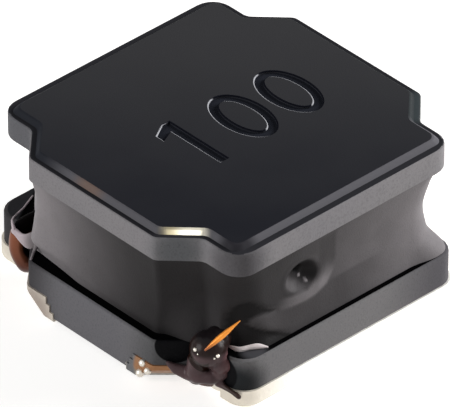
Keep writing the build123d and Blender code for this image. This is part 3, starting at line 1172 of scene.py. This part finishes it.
# Painted highlight: a bright cream patch on the front notch's bevel, which is also polished and partly
# metallic there, so it mirrors the front lamp
polish_and_highlight = worn.ball((-3.36, -2.32, 4.0), 0.3, 0.62)
painted_highlight = worn.mix(worn.ball((-3.2, -2.55, 4.0), 0.2, 0.6), (178, 168, 138), (240, 234, 214))
worn.colour(worn.mix(polish_and_highlight, tone, painted_highlight))
worn.feed(worn.shader.inputs["Metallic"], worn.rise(polish_and_highlight, 0.0, 1.0, 0.0, 0.42))
worn.roughness(worn.rise(polish_and_highlight, 0.0, 1.0, 0.6, 0.17))

core_finishes = (fired, ground, worn)
for finish in core_finishes:
    core.data.materials.append(finish.material)
digits_reach = 2.9
for face in core.data.polygons:
    z = face.center.z / mm
    in_digit = z > top_face - digit_depth - 0.01 and face.center.xy.length < digits_reach * mm
    flat = face.normal.z > 0.98 and z > base_top - 0.003
    on_bevel = z > top_ledge + 0.005
    finish = ground if flat or in_digit else worn if on_bevel else fired
    face.material_index = core_finishes.index(finish)
    face.use_smooth = face.normal.z < 0.999
counts = [sum(face.material_index == k for face in core.data.polygons) for k in range(3)]
print("core faces, fired, ground and worn:", counts)

# %% [markdown]
# The resin is full of metal powder: a mauve grey with a satin sheen. Its grey level comes
# from the attribute that the grid carries, which holds its painted shade and highlights. Slow
# blotches and fine powder keep it from looking like paint. The thin lips are painted paler, as a
# highlight along their edges, so they have a finish of their own.

# %% Resin finish
paste = Finish("magnetic_resin", roughness=0.5, specular=0.06)
cloud = paste.grain(1.1, 3)
powder = paste.grain(0.04, 2)
# The stored level is the painted shade and highlights from the grid's loop
stored = paste.node("ShaderNodeAttribute", attribute_name="tone").outputs["Fac"]
level = paste.math("MULTIPLY", stored, paste.rise(cloud, 0.3, 0.7, 0.9, 1.1))
level = paste.math("MULTIPLY", level, paste.rise(powder, 0.5, 0.8, 1.0, 0.85))
tint = paste.node("ShaderNodeCombineColor")
for name, share in (("Red", 1.03), ("Green", 0.96), ("Blue", 1.0)):
    paste.feed(tint.inputs[name], paste.math("MULTIPLY", level, share))
paste.colour(tint.outputs["Color"])
paste.roughness(paste.rise(cloud, 0.3, 0.7, 0.42, 0.56))
paste.bump(powder, 0.006)
resin.data.materials.append(paste.material)

lip = Finish("resin_lip", roughness=0.45, specular=0.2)
# Painted highlight: the lips are much paler than the resin and brightest on the front foot, and the web
# is darker where it meets the resin
lip_highlight_tone = lip.mix(lip.grain(0.3, 2), (180, 166, 172), (204, 192, 196))
lip.colour(lip.stain(lip_highlight_tone, [
    ((-2.65, -3.55, 1.25), 0.5, 1.5, (236, 226, 226)),
    ((-3.65, 2.0, 1.5), 0.25, 0.7, (112, 106, 108)),
]))
lip.bump(lip.grain(0.06, 2), 0.006)
for piece in lips:
    piece.data.materials.append(lip.material)
print("resin nodes:", len(paste.tree.nodes))

# %% [markdown]
# Enamel on the wire is a clear brown varnish over copper, so the metal shines through it.
# Where it lies in the resin's hollows it is painted black as shade.

# %% Enamel and flux
enamel = Finish("wire_enamel", roughness=0.3, specular=0.3)
copper = enamel.mix(enamel.grain(0.6, 2), (118, 66, 44), (136, 80, 54))
copper = enamel.mix(enamel.rise(enamel.z, 0.35, 1.1), (76, 40, 32), copper)
# Painted shade: black on the inner side of the left lead and wherever the wire is above the resin's
# foot, and metallic and rough there so that it mirrors little
shadow = enamel.ball((-3.2, 2.62, 0.95), 0.3, 0.4)
painted_shade_share = enamel.math("MAXIMUM", shadow, enamel.rise(enamel.z, 1.27, 1.34))
copper = enamel.mix(painted_shade_share, copper, (10, 7, 8))
enamel.colour(copper)
enamel.feed(enamel.shader.inputs["Metallic"], enamel.rise(painted_shade_share, 0.0, 1.0, 0.35, 1.0))
enamel.roughness(enamel.rise(painted_shade_share, 0.0, 1.0, 0.3, 1.0))
enamel.bump(enamel.grain(0.08, 2), 0.004)
# Painted highlight: the sliver's copper turns bright orange towards its top
sliver_highlight = Finish("painted_copper_highlight", roughness=0.32, metallic=0.5)
sliver_highlight.colour(sliver_highlight.mix(sliver_highlight.rise(sliver_highlight.z, 1.55, 1.85), (140, 76, 40), (250, 156, 56)))
wire.data.materials.append(enamel.material)
sliver.data.materials.append(sliver_highlight.material)
with bpy.context.temp_override(active_object=wire, selected_editable_objects=[wire, sliver]):
    bpy.ops.object.join()

flux = Finish("flux_residue", roughness=0.3, specular=0.12)
drip = flux.rise(flux.grain(0.5, 2), 0.35, 0.65)
brown = flux.mix(drip, (74, 58, 60), (84, 66, 68))
# Painted light: the right of the lower lobe is lighter
brown = flux.stain(brown, [((-3.02, -3.42, 1.0), 0.15, 0.42, (122, 84, 86))])
# Painted shade: darker towards the top, where the drop runs into the resin's hollow
brown = flux.mix(flux.rise(flux.z, 1.28, 1.42), brown, (34, 22, 20))
brown = flux.mix(flux.rise(flux.z, 1.55, 1.68), brown, (22, 18, 20))
brown = flux.stain(brown, [((-3.24, -3.85, 0.4), 0.3, 0.5, (62, 48, 44))])
# Painted shade: a dark hook curls round the drop, in the crease between the drop and the strand, drawn
# as part of an oval seen from the lens
hook_x, hook_y, hook_half_x, hook_half_y = -0.465, -1.504, 0.345, 0.51
across, height = flux.reach(right), flux.reach(up)
oval = 0.0
for place, centre, half in ((across, hook_x, hook_half_x), (height, hook_y, hook_half_y)):
    gap = flux.math("DIVIDE", flux.math("SUBTRACT", place, centre), half)
    oval = flux.math("ADD", flux.math("POWER", gap, 2.0), oval)
hook_shade = flux.band(oval, 0.74, 1.3, 0.08)
hook_shade = flux.math("MULTIPLY", hook_shade, flux.fall(across, -0.38, -0.34))
hook_shade = flux.math("MULTIPLY", hook_shade, flux.fall(height, -1.5, -1.4))
brown = flux.mix(hook_shade, brown, (28, 12, 7))
flux.colour(brown)
flux.bump(flux.grain(0.15, 2), 0.01)
residue.data.materials.append(flux.material)
print("wire finishes:", [m.name for m in wire.data.materials])

# %% [markdown]
# The terminals are a plated layer, matt and creamy, with a burnt smear of flux at the front
# corner and a dull grey patch beside it. Painted light makes them nearly white towards +X, and
# painted shade darkens their left end. Solder is brighter and smoother, because it has been
# liquid.

# %% Plating and solder
plating = Finish("terminal_plating", roughness=0.45, metallic=0.45)
cream = plating.mix(plating.grain(0.5, 3), (206, 196, 180), (236, 230, 218))
# Painted light: nearly white towards +X; painted shade: darker at the left end
cream = plating.mix(plating.rise(plating.x, -3.2, -1.4), cream, (253, 251, 246))
cream = plating.stain(cream, [((-4.0, 1.8, 0.1), 0.3, 0.9, (164, 152, 142))])
patch = plating.band(plating.y, -1.8, -1.2, 0.02)
dull = plating.math("MULTIPLY", patch, plating.fall(plating.x, -3.9, -3.8))
cream = plating.mix(dull, cream, (98, 98, 100))
smear = plating.mix(plating.rise(plating.z, 0.16, 0.3), (128, 122, 112), (150, 106, 70))
plating.colour(plating.mix(plating.ball((-4.0, -2.2, 0.3), 0.72, 0.82), cream, smear))
plating.roughness(plating.rise(plating.grain(0.12, 2), 0.3, 0.7, 0.38, 0.58))
plating.bump(plating.grain(0.1, 3), 0.012)

solder = Finish("solder", roughness=0.3, metallic=0.7)
solder.colour(solder.mix(solder.grain(0.3, 2), (214, 206, 194), (240, 236, 226)))
solder.bump(solder.grain(0.12, 3), 0.008)
for piece in (beads_and_glints, *solders):
    piece.data.materials.append(solder.material)
for name in ("front_terminal", "rear_terminal"):
    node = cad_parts[name]
    node.data.materials.clear()
    node.data.materials.append(plating.material)
print("finishes:", sorted(m.name for m in bpy.data.materials))
